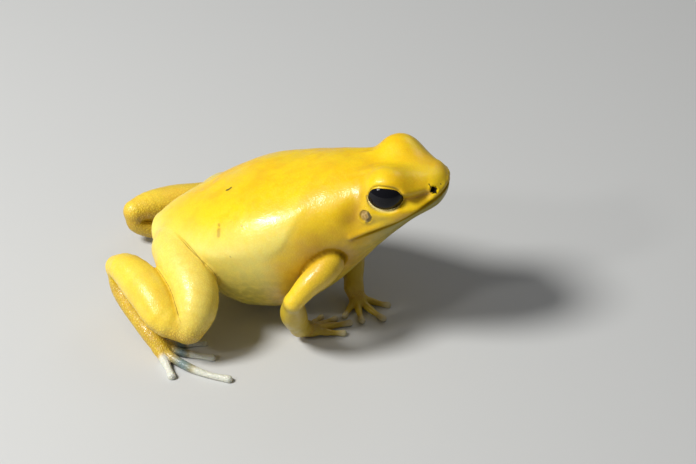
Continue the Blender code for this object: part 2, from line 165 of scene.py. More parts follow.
def smooth_max(first, second, width):
    """The higher of two distances, eased in the same way: the lower one of both turned over."""
    return -smooth_min(-first, -second, width)


def section(along, up):
    """Half width, reach and power of the section, the last two for the point's half of it."""
    wide, rise, drop, above, below = (np.interp(along, PROFILE_PLACES, size) for size in PROFILE)
    return wide, np.where(up > 0, rise, drop), np.where(up > 0, above, below)


def half_width(along, up):
    """How far out the bare trunk's skin lies at a height above the axis: the half width times
    what the superellipse leaves at that share of its height."""
    wide, reach, power = section(along, up)
    return wide * (1 - np.minimum(np.abs(up) / reach, 1) ** power) ** (1 / power)


def trunk_distance(points):
    """Distance to the trunk: the part of a point's distance from the axis that is beyond its
    section's outline, joined to the distances beyond both ends."""
    along, out, up = to_axis(points)
    wide, reach, power = section(along, up)
    wide, reach = np.maximum(wide, LEAST_SIZE), np.maximum(reach, LEAST_SIZE)
    share = ((np.abs(out) / wide) ** power + (np.abs(up) / reach) ** power) ** (1 / power)
    radial = np.hypot(out, up) * (1 - 1 / np.maximum(share, 1e-3))
    radial = np.maximum(radial, -np.minimum(wide, reach))
    ends = np.maximum(along - TIP - END_GAP, RUMP - RUMP_ROUND - along)
    return smooth_max(radial, ends, END_JOINT)


# The limbs are muscle under the same skin: plump thighs and shanks folded against each other,
# and short stout arms. Each is made as a chain of swelling and tapering round links.
LIMB_LINKS = 14
# Places along each limb, x, y and z, with the limb's radius there.
LEGS = {
    "right": {
        "thigh": (
            (-13.0, -4.2, 10.0, 3.6), (-10.9, -8.2, 10.3, 3.5), (-8.0, -11.9, 9.4, 3.35),
            (-7.0, -14.5, 7.9, 3.0), (-7.5, -16.1, 5.7, 2.3),
        ),
        "shank": (
            (-8.0, -16.2, 5.7, 2.2), (-11.2, -15.7, 6.65, 2.8), (-13.6, -13.7, 7.9, 3.0),
            (-15.9, -11.7, 8.4, 2.95), (-18.6, -9.7, 8.8, 2.45), (-20.8, -8.0, 7.8, 1.7),
        ),
        "tarsus": (
            (-20.9, -7.8, 7.4, 1.45), (-20.3, -8.8, 4.8, 1.3), (-18.4, -10.7, 3.6, 1.25),
            (-15.8, -13.2, 3.0, 1.25), (-13.4, -15.1, 2.1, 1.3), (-11.6, -16.2, 1.1, 1.2),
        ),
    },
    "left": {
        "thigh": (
            (-12.8, 5.8, 9.0, 3.2), (-12.2, 9.8, 8.4, 3.1), (-11.8, 13.8, 7.4, 3.2),
            (-11.8, 17.3, 6.2, 2.9), (-12.2, 19.1, 4.6, 2.3),
        ),
        "shank": (
            (-12.6, 19.0, 4.5, 2.2), (-15.5, 17.0, 3.9, 2.7), (-18.8, 14.3, 4.5, 2.8),
            (-21.9, 11.4, 5.2, 2.35), (-23.8, 9.2, 5.4, 1.7),
        ),
        "tarsus": (
            (-23.8, 9.1, 5.0, 1.45), (-23.3, 8.7, 3.3, 1.3), (-20.7, 9.8, 2.0, 1.25),
            (-16.9, 12.3, 1.7, 1.3), (-13.9, 14.3, 1.1, 1.2),
        ),
    },
}
ARMS = {
    "right": {
        "upper": (
            (10.5, -7.8, 15.0, 2.1), (9.8, -9.4, 14.2, 2.0), (8.3, -11.0, 12.9, 1.7),
            (6.6, -12.4, 10.6, 1.35),
        ),
        "fore": ((6.5, -12.2, 10.2, 1.4), (6.2, -10.2, 6.6, 1.9), (6.6, -7.6, 2.4, 1.3)),
    },
    "left": {
        "upper": (
            (11.0, 9.4, 14.8, 2.1), (10.8, 10.6, 13.6, 2.1), (10.2, 11.6, 11.6, 1.85),
            (9.4, 12.1, 9.2, 1.4),
        ),
        "fore": ((9.4, 12.0, 8.9, 1.4), (10.6, 8.4, 5.6, 1.9), (12.0, 4.0, 2.3, 1.3)),
    },
}
# Distances to links are worked out up to this far away.
FAR = 6.0


def smooth_path(points, count):
    """A Catmull-Rom run through points of x, y, z and radius, at count even steps: cubic pieces
    whose slope at each point is half the way from the point before to the one after."""
    points = np.asarray(points, float)
    padded = np.vstack((2 * points[0] - points[1], points, 2 * points[-1] - points[-2]))
    place = np.linspace(0, len(points) - 1, count)
    i = np.minimum(place.astype(int), len(points) - 2)
    t = (place - i)[:, None]
    before, here, there, after = (padded[i + k] for k in range(4))
    return 0.5 * (
        2 * here + (there - before) * t + (2 * before - 5 * here + 4 * there - after) * t ** 2
        + (3 * here - before - 3 * there + after) * t ** 3
    )


def links_distance(points, path):
    """Distance to the nearest round link of a path: the distance to the line from one path point
    to the next, less the radius between theirs."""
    path = np.asarray(path, float)
    low, high = path[:, :3].min(axis=0), path[:, :3].max(axis=0)
    margin = path[:, 3].max() + FAR
    near = ((points > low - margin) & (points < high + margin)).all(axis=-1)
    found = np.full(points.shape[:-1], FAR)
    close = points[near]
    best = np.full(len(close), FAR)
    for start, end in zip(path[:-1], path[1:]):
        run = end[:3] - start[:3]
        share = np.clip((close - start[:3]) @ run / (run @ run + 1e-9), 0, 1)
        gap = np.linalg.norm(close - start[:3] - share[:, None] * run, axis=-1)
        best = np.minimum(best, gap - start[3] - share * (end[3] - start[3]))
    found[near] = best
    return found


LIMBS = {}
for side in ("right", "left"):
    for name, points in {**LEGS[side], **ARMS[side]}.items():
        LIMBS[name + "_" + side] = smooth_path(points, LIMB_LINKS)


# Hands and feet: thin fingers and toes of bone and skin without webs, each a little swollen at
# a joint and widened to a small blunt disc at its tip. They spread from a low fleshy palm.
DIGIT_HEIGHT = 1.0
TIP_HEIGHT = 0.36
DIGIT_STEPS = 4
DIGIT_LINKS = 17
NECK_BEHIND_TIP = 0.9
KNUCKLE = 0.05
TIP_DISC = 0.07
PALM_RADIUS = 1.15
SINK_POWER = 1.5
TAPER_RATE = 1.6
# Base, heading there and at the tip in degrees, length, radius at the base and at the tip.
TOES = {
    "right": (
        ((-11.4, -15.1), 56, 44, 4.0, 0.60, 0.42),
        ((-11.4, -15.4), 32, 26, 5.8, 0.65, 0.45),
        ((-11.5, -15.8), -2, 8, 7.2, 0.70, 0.46),
        ((-11.7, -16.2), -36, 4, 11.6, 0.75, 0.50),
        ((-12.0, -16.6), -46, -58, 5.4, 0.75, 0.54),
    ),
    "left": (
        ((-13.8, 13.4), -40, -30, 4.0, 0.60, 0.42),
        ((-13.8, 13.7), -16, -12, 5.8, 0.65, 0.45),
        ((-13.8, 14.1), 8, 2, 7.6, 0.70, 0.46),
        ((-13.9, 14.5), 32, 10, 11.0, 0.75, 0.50),
        ((-14.2, 14.8), 58, 50, 5.8, 0.75, 0.54),
    ),
}
FINGERS = {
    "right": (
        ((7.6, -5.5), 84, 66, 3.6, 0.55, 0.42),
        ((7.8, -5.7), 58, 50, 4.8, 0.60, 0.44),
        ((7.9, -5.9), 42, 32, 6.2, 0.60, 0.46),
        ((7.9, -6.3), 22, 14, 4.9, 0.60, 0.44),
    ),
    "left": (
        ((12.6, 2.6), -110, -96, 3.4, 0.55, 0.42),
        ((12.8, 2.7), -70, -62, 4.2, 0.60, 0.44),
        ((13.0, 3.0), -36, -28, 5.2, 0.60, 0.46),
        ((13.0, 3.5), -2, 4, 4.4, 0.60, 0.44),
    ),
}


def digit_path(base, heading, end_heading, length, radius, end_radius):
    """A digit that turns evenly from one heading to another over even strides, while its height
    sinks from palm to floor by a power of the share still to go."""
    share = np.linspace(0, 1, DIGIT_STEPS + 1)
    angle = np.radians(heading + (end_heading - heading) * (share[1:] - 0.5 / DIGIT_STEPS))
    stride = length / DIGIT_STEPS
    x = base[0] + stride * np.append(0, np.cumsum(np.cos(angle)))
    y = base[1] + stride * np.append(0, np.cumsum(np.sin(angle)))
    height = TIP_HEIGHT + (DIGIT_HEIGHT - TIP_HEIGHT) * (1 - share) ** SINK_POWER
    width = radius + (end_radius - radius) * np.minimum(TAPER_RATE * share, 1.0)
    width[-2] *= NECK_BEHIND_TIP
    width[2] += KNUCKLE
    width[-1] += TIP_DISC
    return smooth_path(np.stack((x, y, height, width), axis=-1), DIGIT_LINKS)


DIGITS = {}
for side in ("right", "left"):
    fingers = [digit_path(*finger) for finger in FINGERS[side]]
    DIGITS["fore_" + side] = fingers
    DIGITS["tarsus_" + side] = [digit_path(*toe) for toe in TOES[side]]
    palm_end = (*np.mean([finger[0, :2] for finger in fingers], axis=0), DIGIT_HEIGHT, PALM_RADIUS)
    LIMBS["palm_" + side] = np.array((ARMS[side]["fore"][-1], palm_end))


# The head: skin over a broad flat skull. Eyes bulge high on the sides under plump brows, a ridge
# runs from each eye to the nostril over a shallow hollow, and a fleshy lip overhangs the mouth.
EYE_CENTRE = (38.52, 4.85, 2.7)
EYE_LOOK = (0.2, 0.93, 0.3)
EYE_SLIT = (1.0, 0.0, 0.03)
LID_CENTRE = (38.75, 4.55, 2.65)
LID_RADIUS = 3.22
BROW_CENTRE = (37.4, 3.6, 1.9)
BROW_HALF_SIZE = (4.7, 3.3, 3.3)
BROW_JOINT = 1.5
EYE_BULGE_JOINT = 1.8
LIP_BACK = (32.6, -2.15)
LIP_FRONT = (45.9, -0.35)
LIP_RADIUS = 0.6
LIP_INSET = 0.42
LIP_RISE = 0.55
LIP_JOINT = 0.35
HOLLOW_POINTS = ((41.3, 1.3), (42.6, 0.85), (44.0, 0.6))
HOLLOW_RADIUS = 0.9
HOLLOW_DEPTH = 0.4
HOLLOW_LINKS = 7
HOLLOW_JOINT = 0.7
# The lids' opening reaches this far to the rear, the front, the top and the bottom.
OPENING = (1.82, 1.82, 1.38, 1.50)
OPENING_DROP = 0.4
OPENING_FLOOR = 0.6
OPENING_JOINT = 0.22
ALMOND_TOP, ALMOND_BOTTOM, ALMOND_ROOT = 2.8, 2.1, 0.45
BALL_HALF_SIZE = np.array((2.95, 2.9, 2.95))
BALL_SINK = 0.36
MARGIN_WIDTH = 1.25
MARGIN_HEIGHT = 0.03
MARGIN_JOINT = 0.9
# Only points this far along the axis and across its middle can belong to the bulge of an eye.
HEAD_START, HEAD_MIDDLE = 30.0, -1.0


def mouth_height(along):
    """Height of the mouth line above the axis, which rises evenly from the jaw's back to front."""
    (back, low), (front, high) = LIP_BACK, LIP_FRONT
    return low + (high - low) * (along - back) / (front - back)


def mouth_row(lift, inset, count=41):
    """Points round the jaw on the mouth line, raised by lift and moved into the skin by inset.
    On each side they go the way of a sine from back to front."""
    share = np.linspace(-1, 1, count)
    ahead = np.sin(0.5 * math.pi * (1 - np.abs(share)))
    along = LIP_BACK[0] + (LIP_FRONT[0] - LIP_BACK[0]) * ahead
    up = mouth_height(along) + lift
    out = np.sign(share) * half_width(along, up)
    run = np.stack((np.gradient(along), np.gradient(out)))
    run /= np.linalg.norm(run, axis=0)
    return from_axis(along - inset * run[1], out + inset * run[0], up)


def row_with_radius(points, radius):
    """Places with the same radius put beside each."""
    return np.column_stack((points, np.full(len(points), radius)))


LIP = row_with_radius(mouth_row(LIP_RISE, LIP_INSET), LIP_RADIUS)
HOLLOWS = []
for side in (-1, 1):
    along, up = np.transpose(HOLLOW_POINTS)
    out = side * (half_width(along, up) + HOLLOW_RADIUS - HOLLOW_DEPTH)
    HOLLOWS.append(smooth_path(row_with_radius(from_axis(along, out, up), HOLLOW_RADIUS), HOLLOW_LINKS))


def eye_axes(side):
    """Unit axes of an eye opening: toward the snout, upward across it, and straight out of it.
    The slit's way is made square to the look's, and the third is square to both."""
    look = np.array(EYE_LOOK) * (1, side, 1)
    look /= np.linalg.norm(look)
    slit = np.array(EYE_SLIT)
    slit -= look * (look @ slit)
    slit /= np.linalg.norm(slit)
    rise = np.cross(look, slit)
    return slit, rise * np.sign(rise[2]), look


def ball_centre(side):
    """The middle of an eye's ball: its place beside the axis, sunk along the eye's look."""
    centre = from_axis(EYE_CENTRE[0], side * EYE_CENTRE[1], EYE_CENTRE[2])
    return centre - BALL_SINK * eye_axes(side)[2]


def almond_share(forward, rise, rear, front, top, bottom):
    """Share of the way out to an almond outline of these half sizes: the root of the summed powers
    of both shares, with a higher power above, where the outline is flatter."""
    lifted = rise + OPENING_DROP
    wide = np.where(forward > 0, front, rear)
    tall = np.where(lifted > 0, top, bottom)
    bent = np.where(lifted > 0, ALMOND_TOP, ALMOND_BOTTOM)
    powers = (np.abs(forward) / wide) ** bent + (np.abs(lifted) / tall) ** ALMOND_BOTTOM
    return powers ** ALMOND_ROOT


def opening_places(points, side):
    """Places relative to an eye's centre in the eye's own axes, and the share of them at which
    the lids' almond outline lies: below one in the opening, above one on the lids."""
    forward, rise, outward = ((points - ball_centre(side)) @ axis for axis in eye_axes(side))
    return forward, rise, outward, almond_share(forward, rise, *OPENING)


def head_distance(points, distance):
    """The trunk's distance with brows and lids joined on, then hollows and openings cut: each cut
    is the higher of the distance and the cutting body's distance turned over."""
    along, out, up = to_axis(points)
    for side in (-1, 1):
        near = (along > HEAD_START) & (out * side > HEAD_MIDDLE)
        a, o, u = along[near], out[near] * side, up[near]
        size = np.array(BROW_HALF_SIZE)
        places = np.stack((a, o, u), axis=-1) - BROW_CENTRE
        share = np.linalg.norm(places / size, axis=-1)
        brow = (share - 1) * size.min()
        lid = np.linalg.norm(np.stack((a, o, u), axis=-1) - LID_CENTRE, axis=-1) - LID_RADIUS
        raised = smooth_min(distance[near], smooth_min(brow, lid, BROW_JOINT), EYE_BULGE_JOINT)
        hollow = links_distance(points[near], HOLLOWS[0 if side < 0 else 1])
        raised = smooth_max(raised, -hollow, HOLLOW_JOINT)
        forward, rise, outward, share = opening_places(points[near], side)
        round_out = 1 - (forward / BALL_HALF_SIZE[0]) ** 2 - (rise / BALL_HALF_SIZE[1]) ** 2
        bowl = BALL_HALF_SIZE[2] * np.sqrt(np.maximum(round_out, 0.03))
        margin = np.maximum((share - MARGIN_WIDTH) * OPENING[2], bowl + MARGIN_HEIGHT - outward)
        raised = smooth_max(raised, -margin, MARGIN_JOINT)
        places = np.stack((forward, rise, outward), axis=-1)
        sunk = (1 - np.linalg.norm(places / BALL_HALF_SIZE, axis=-1)) * BALL_HALF_SIZE[2]
        tunnel = np.maximum((share - 1) * OPENING[2], np.maximum(sunk - OPENING_FLOOR, -outward))
        distance[near] = smooth_max(raised, -tunnel, OPENING_JOINT)
    return distance


# One moist skin covers trunk, head and limbs without a seam. It is made by meshing the place
# where the joined distances are zero, eased over every joint, and cut level on the floor.
MESH_STEP = 0.35
MESHED_BOX = np.array(((-26.7, -22.6, -1.2), (26.5, 22.6, 30.5)))
SOLE_HEIGHT = 0.02
SOLE_JOINT = 0.08
# How softly each part joins the rest.
JOINTS = {"thigh": 0.8, "shank": 0.6, "tarsus": 0.5, "upper": 0.6, "fore": 0.5, "palm": 0.8}
DIGIT_JOINT = 0.5
BETWEEN_DIGITS = 0.25
LEAST_SLOPE = 0.2
LONGEST_MOVE = 0.25


def part_distances(points):
    """Distance to the trunk with the head on it, and to each limb with its digits joined on."""
    trunk = trunk_distance(points)
    trunk = smooth_min(trunk, links_distance(points, LIP), LIP_JOINT)
    parts = {"trunk": head_distance(points, trunk)}
    for name, path in LIMBS.items():
        parts[name] = links_distance(points, path)
    for name, paths in DIGITS.items():
        digits = np.full(points.shape[:-1], FAR)
        for path in paths:
            digits = smooth_min(digits, links_distance(points, path), BETWEEN_DIGITS)
        parts[name] = smooth_min(parts[name], digits, DIGIT_JOINT)
    return parts


def skin_distance(points):
    """All parts joined one after another with eased seams, and cut level where they rest."""
    parts = part_distances(points)
    whole = parts["trunk"]
    for name, distance in parts.items():
        if name != "trunk":
            whole = smooth_min(whole, distance, JOINTS[name.split("_")[0]])
    return smooth_max(whole, SOLE_HEIGHT - points[..., 2], SOLE_JOINT)


def draw_onto_skin(points, repeats, reach=0.01):
    """Points moved against the way in which the distance grows, by the distance over its slope,
    where the slope is measured over a small step along each axis."""
    for _ in range(repeats):
        here = skin_distance(points)
        rise = [(skin_distance(points + step) - here) / reach for step in np.eye(3) * reach]
        rise = np.stack(rise, axis=-1)
        steep = np.maximum((rise ** 2).sum(axis=-1), LEAST_SLOPE)
        points = points - np.clip(here / steep, -LONGEST_MOVE, LONGEST_MOVE)[:, None] * rise
    return points


low, high = MESHED_BOX
counts = np.ceil((high - low) / MESH_STEP).astype(int)
axes = [low[k] + MESH_STEP * np.arange(counts[k]) for k in range(3)]
lattice = np.stack(np.meshgrid(*axes, indexing="ij"), axis=-1)
volume = openvdb.FloatGrid()
volume.copyFromArray(skin_distance(lattice).astype(np.float32))
points, quads = volume.convertToQuads(isovalue=0.0)
points = low + MESH_STEP * points.astype(float)
skin_mesh = bpy.data.meshes.new("frog_skin")
skin_mesh.from_pydata(points * MM, [], quads.astype(int))


# The skin's small forms: nostrils, eardrums of thin bare skin, a dip behind each ear and a fold
# on the flank. They are pressed into the finely divided skin. Places are along and above the axis.
NOSTRIL = (44.8, 0.8)
EAR = (35.6, 1.05)
EAR_HALF_SIZE = (0.85, 1.0)
NECK_DIP = ((35.6, 4.4), (35.0, 3.2), (34.2, 2.0), (33.6, 0.9))
FOLD_MIDDLE = (24.9, 1.8)
FOLD_DIRECTION = math.radians(30)
FOLD_LENGTH, FOLD_WIDTH = 3.9, 3.0
FOLD_WAVE, FOLD_WAVE_RATE = 0.5, 0.63
# What lies farther out from the axis than this is on the side of the neck, the flank or an ear.
NECK_OUT, FLANK_OUT, EAR_OUT = 3.0, 5.0, 5.5
AWAY = 9.0
# Depth and half width of what is pressed in.
CREASE_DEPTH = 0.09
HOLLOW_GROOVE = (0.12, 0.35)
MOUTH_GROOVE = (0.15, 0.17)
LIP_UNDERCUT = (0.10, 1.2)
NOSTRIL_PIT = (0.5, 0.36)
NECK_HOLLOW = (0.46, 1.4)
FOLD_DEPTH = 0.16
EAR_DEPTH, EAR_WALL = 0.16, (0.75, 1.0)
# Height, distance out and half width of raised rims, in shares of the drum's size for the ear.
NOSTRIL_RIM = (0.06, 0.7, 0.25)
EAR_RIM = (0.06, 1.15, 0.2)
CREASE_GAP, CREASE_WIDTH, CREASE_LINE_WIDTH = 0.16, 0.35, 0.30
CREASE_TURNS = (0.25, 0.8)
SOLE_ZONE = 0.25
# Where the skin is divided finely: along the axis, above the floor, or nearer than this.
SNOUT_ZONE, DIGITS_ZONE, LIDS_ZONE = 43.0, 1.6, 1.9
HOLLOW_ZONE, CREASE_ZONE, CREASE_TURN, MOUTH_ZONE = 0.8, 0.45, 0.2, 0.6
EAR_BOX = ((33.8, 37.2), (5.0, 20.0), (-1.2, 2.8))
MARKS_BOX = ((13.0, 19.0), (1.0, 20.0), (-0.5, 20.0))
# Where it is divided once more: at shares of the ear and of an eye's opening, and by a nostril.
EAR_EDGE, LID_EDGE, NOSTRIL_ZONE = (0.6, 1.3), (0.7, 1.35), 1.0
LID_FRONT = 0.2


def on_trunk(along, up, side):
    """Places on the trunk's bare skin at a height above the axis: half its width out there."""
    return from_axis(along, side * half_width(along, up), up)


def row_distance(points, places):
    """Distance to the line through a row of places, as links without a radius."""
    return links_distance(points, row_with_radius(np.asarray(places), 0.0))


def nostril_distance(points):
    """Distance to the nearer nostril."""
    gaps = [np.linalg.norm(points - on_trunk(*NOSTRIL, side), axis=-1) for side in (-1, 1)]
    return np.min(gaps, axis=0)


def ear_shares(along, up):
    """Distance from an ear's middle as a share of its size, by the ellipse's formula."""
    return np.hypot((along - EAR[0]) / EAR_HALF_SIZE[0], (up - EAR[1]) / EAR_HALF_SIZE[1])


def creases(points, reach=0.02):
    """How near a point lies to where two parts meet: its distance to the second closest part, and
    one less the cosine of the angle between the ways in which the two distances grow."""
    parts = part_distances(points)
    names = [name for name in parts if not name.startswith("palm")]
    distances = np.stack([parts[name] for name in names])
    order = np.argsort(distances, axis=0)[:2]
    ways = []
    for step in np.eye(3) * reach:
        after = part_distances(points + step)
        ways.append(np.stack([after[name] - parts[name] for name in names]) / reach)
    ways = np.stack(ways, axis=-1)
    first, second = (np.take_along_axis(ways, order[k][None, :, None], axis=0)[0] for k in (0, 1))
    turn = 1 - (first * second).sum(axis=-1) / (
        np.linalg.norm(first, axis=-1) * np.linalg.norm(second, axis=-1) + 1e-6)
    gap = np.take_along_axis(distances, order[1][None], axis=0)[0]
    return gap, np.clip(turn, 0, 1.2)


def in_box(places, box):
    """Whether each place lies between both limits on every axis."""
    low, high = np.transpose(box)
    return ((places > low) & (places < high)).all(axis=-1)


def fine_zone(points):
    """Where the skin needs smaller faces: round eyes, mouth, nostrils, ears and marks, on digits,
    and in the creases. Each place is a range of distances along, out from or above the axis."""
    along, out, up = to_axis(points)
    zone = (along > SNOUT_ZONE) | (points[:, 2] < DIGITS_ZONE)
    for side in (-1, 1):
        forward, rise, outward, share = opening_places(points, side)
        zone |= (share < LIDS_ZONE) & (outward > 0)
        zone |= in_box(np.stack((along, side * out, up), axis=-1), EAR_BOX)
        hollow = on_trunk(*np.transpose(HOLLOW_POINTS), side)
        zone |= row_distance(points, hollow) < HOLLOW_ZONE
    zone |= in_box(np.stack((along, -out, up), axis=-1), MARKS_BOX)
    gap, turn = creases(points)
    zone |= (gap < CREASE_ZONE) & (turn > CREASE_TURN)
    return zone | (row_distance(points, mouth_row(0.0, 0.0)) < MOUTH_ZONE)


def finest_zone(points):
    """The lids' edges, the nostrils and the ears' rims, where the skin turns most sharply, each as
    a range of distances or shares from the middle of the opening."""
    along, out, up = to_axis(points)
    ear = ear_shares(along, up)
    zone = (ear > EAR_EDGE[0]) & (ear < EAR_EDGE[1]) & (np.abs(out) > FLANK_OUT)
    for side in (-1, 1):
        forward, rise, outward, share = opening_places(points, side)
        zone |= (share > LID_EDGE[0]) & (share < LID_EDGE[1]) & (outward > LID_FRONT)
    return zone | (nostril_distance(points) < NOSTRIL_ZONE)


def read_mesh(mesh):
    """The places of a mesh in millimetres, and the numbers of the two ends of each edge."""
    places = np.empty(len(mesh.vertices) * 3)
    mesh.vertices.foreach_get("co", places)
    ends = np.empty(len(mesh.edges) * 2, int)
    mesh.edges.foreach_get("vertices", ends)
    return places.reshape(-1, 3) / MM, ends.reshape(-1, 2)


def divide(mesh, zone):
    """Every edge with both ends in the zone cut in half, and the faces beside it divided too."""
    places, ends = read_mesh(mesh)
    chosen = np.flatnonzero(zone(places)[ends].all(axis=1))
    cage = bmesh.new()
    cage.from_mesh(mesh)
    cage.edges.ensure_lookup_table()
    edges = [cage.edges[number] for number in chosen]
    bmesh.ops.subdivide_edges(cage, edges=edges, cuts=1, use_grid_fill=True)
    many_sided = [face for face in cage.faces if len(face.verts) > 4]
    bmesh.ops.triangulate(cage, faces=many_sided)
    cage.to_mesh(mesh)
    cage.free()


divide(skin_mesh, fine_zone)
divide(skin_mesh, finest_zone)
places, ends = read_mesh(skin_mesh)
places = draw_onto_skin(places, 2)


def evened(values, chosen, repeats):
    """Values of the chosen vertices moved halfway to the mean of their neighbours' values."""
    values = values.copy()
    count = np.bincount(ends.ravel(), minlength=len(values))[:, None]
    for _ in range(repeats):
        total = np.zeros_like(values)
        for near, far in ((0, 1), (1, 0)):
            for k in range(values.shape[1]):
                total[:, k] += np.bincount(ends[:, near], values[ends[:, far], k], len(values))
        values[chosen] = 0.5 * (values + total / count)[chosen]
    return values


def soft_step(value, start, end):
    """Zero before start, one after end, and between them three squares less two cubes of the
    share of the way."""
    share = np.clip((value - start) / (end - start), 0, 1)
    return share * share * (3 - 2 * share)


def bell(distance, width):
    """One at no distance, falling off as e to the minus square of the distance in widths."""
    return np.exp(-(distance / width) ** 2)


def vertex_normals(points):
    """The skin mesh moved to these points, and the outward unit way at each of them."""
    skin_mesh.vertices.foreach_set("co", (points * MM).ravel())
    skin_mesh.update()
    normals = np.empty(len(points) * 3)
    skin_mesh.vertex_normals.foreach_get("vector", normals)
    return normals.reshape(-1, 3)


def side_distance(points, row):
    """Distance to a row of places along and above the axis, seen square to the frog's side."""
    along, out, up = to_axis(points)
    flat = np.stack((along, np.zeros(len(along)), up), axis=-1)
    return row_distance(flat, [(a, 0.0, u) for a, u in row])


fine = fine_zone(places)
for _ in range(2):
    places = evened(places, fine, 3)
    places[fine] = draw_onto_skin(places[fine], 2)
along, out, up = to_axis(places)
normals = vertex_normals(places)
gap, turn = creases(places)
gap = np.maximum(gap - CREASE_GAP, 0)
near_crease = np.stack((bell(gap, CREASE_WIDTH), bell(gap, CREASE_LINE_WIDTH)), axis=-1)
near_crease *= soft_step(turn, *CREASE_TURNS)[:, None]
crease, crease_line = evened(near_crease, slice(None), 2).T
mouth_gap = row_distance(places, mouth_row(0.0, 0.0))
below_mouth = soft_step(mouth_height(along) - up, 0.0, 0.5) * (along > LIP_BACK[0])
nostril_gap = nostril_distance(places)
ear_share = np.where(np.abs(out) > EAR_OUT, ear_shares(along, up), AWAY)
neck_gap = np.where(np.abs(out) > NECK_OUT, side_distance(places, NECK_DIP), AWAY)
hollow_gap = side_distance(places, HOLLOW_POINTS)
run, across = along - FOLD_MIDDLE[0], up - FOLD_MIDDLE[1]
fold_run = math.cos(FOLD_DIRECTION) * run + math.sin(FOLD_DIRECTION) * across
fold_side = math.sin(FOLD_DIRECTION) * run - math.cos(FOLD_DIRECTION) * across
fold_side = fold_side + FOLD_WAVE * np.sin(FOLD_WAVE_RATE * fold_run)
fold_reach = bell(fold_run, FOLD_LENGTH) * (np.abs(out) > FLANK_OUT)
openings = [opening_places(places, side) for side in (-1, 1)]
lid_shares = [np.where(outward > 0.3, shares, AWAY) for forward, rise, outward, shares in openings]
lid_share = np.min(lid_shares, axis=0)
lid_rise = np.where(out < 0, openings[0][1], openings[1][1])


def swell(gap, height, width):
    """How far the skin is raised at a gap from a line or middle: height times the bell."""
    return height * bell(gap, width)


lift = -CREASE_DEPTH * crease - swell(hollow_gap, *HOLLOW_GROOVE)
lift -= swell(mouth_gap, *MOUTH_GROOVE) + below_mouth * swell(mouth_gap, *LIP_UNDERCUT)
lift -= swell(nostril_gap, *NOSTRIL_PIT)
lift += swell(nostril_gap - NOSTRIL_RIM[1], NOSTRIL_RIM[0], NOSTRIL_RIM[2])
lift -= EAR_DEPTH * (1 - soft_step(ear_share, *EAR_WALL))
lift += swell(ear_share - EAR_RIM[1], EAR_RIM[0], EAR_RIM[2])
lift -= swell(neck_gap, *NECK_HOLLOW)
lift -= FOLD_DEPTH * soft_step(fold_side, -0.4, 0.5) * bell(fold_side, FOLD_WIDTH) * fold_reach
lift[places[:, 2] < SOLE_ZONE] = 0.0
places = places + lift[:, None] * normals
normals = vertex_normals(places)


# The skin's colour zones: its pigment differs on flanks and toes, partly ochre behind the ears and
# before the eyes, and at the animal's own healed scratches and dark specks, while painted shade darkens
# folds, creases, nostrils, jaw, hands and undersides. Each vertex keeps how deep in or near each zone
# it lies.
NAPE = (33.2, 1.4)
NAPE_HALF_SIZE = 3.4
DIGIT_REACH = 0.3
DIGIT_EASE = 0.6
OUTER_TOE = 4
# Half a mark's width, and places along and above the axis on the right side.
SCARS = (
    (0.22, ((14.5, 6.0), (14.8, 6.05), (15.15, 6.13))),
    (0.10, ((44.3, 1.75), (44.5, 1.3))),
    (0.12, ((45.5, 0.85), (45.55, 0.75))),
)
SPECKS = (
    (0.20, ((14.5, 4.35), (14.6, 4.25))),
    (0.11, ((18.3, 4.2), (18.4, 4.1))),
    (0.11, ((15.75, 0.7), (15.8, 0.5))),
    (0.30, ((14.55, 3.9), (14.5, 3.35))),
    (0.08, ((16.6, 4.6), (16.65, 4.55))),
)


def share_along(points, path):
    """How far along a digit each point lies, from zero at its root to one at its tip: the mean of
    the path's own shares, weighted by how near each path point is."""
    gaps = np.linalg.norm(points[:, None, :2] - path[None, :, :2], axis=-1)
    weight = bell(gaps, DIGIT_EASE) + 1e-9
    return weight @ np.linspace(0, 1, len(path)) / weight.sum(axis=1)


def marks_gap(marks):
    """Distance to the nearest mark as a share of its half width."""
    gaps = [row_distance(places, on_trunk(*np.transpose(run), -1)) / half for half, run in marks]
    return np.min(gaps, axis=0)


def nearest_of(*kinds):
    """Distance to the nearest part whose name starts with one of these kinds."""
    return np.min([parts[name] for name in parts if name.startswith(kinds)], axis=0)


nearest = np.full(len(places), DIGIT_REACH)
share, toe_share, outer_toe = np.full((3, len(places)), -1.0)
for name, paths in DIGITS.items():
    for path in paths:
        gap = links_distance(places, path)
        closest = gap < nearest
        nearest[closest] = gap[closest]
        found = share_along(places[closest], path)
        on_foot = name.startswith("tarsus")
        share[closest] = found
        toe_share[closest] = found if on_foot else -1.0
        outer_toe[closest] = found if on_foot and path is paths[OUTER_TOE] else -1.0

# Which part each place is on, from zero beside the part to one on it.
parts = part_distances(places)
body = parts["trunk"]
thighs, shanks, tarsi = nearest_of("thigh"), nearest_of("shank"), nearest_of("tarsus")
arms, hands = nearest_of("upper", "fore"), nearest_of("palm", "fore")
limbs = np.min((thighs, shanks, tarsi, arms, hands), axis=0)
on_limb = soft_step(body - limbs, -0.3, 0.3)
on_arm = on_limb * soft_step(limbs - arms, -0.3, 0.0)
on_leg = on_limb * (1 - on_arm)
on_hand = soft_step(body - hands, -0.3, 0.3) * soft_step(hands - np.minimum(limbs, body), 0.25, 0.0)
on_tarsus = on_limb * soft_step(limbs - tarsi, -0.3, 0.0)
on_thigh = on_limb * soft_step(limbs - thighs, -0.5, 0.0)

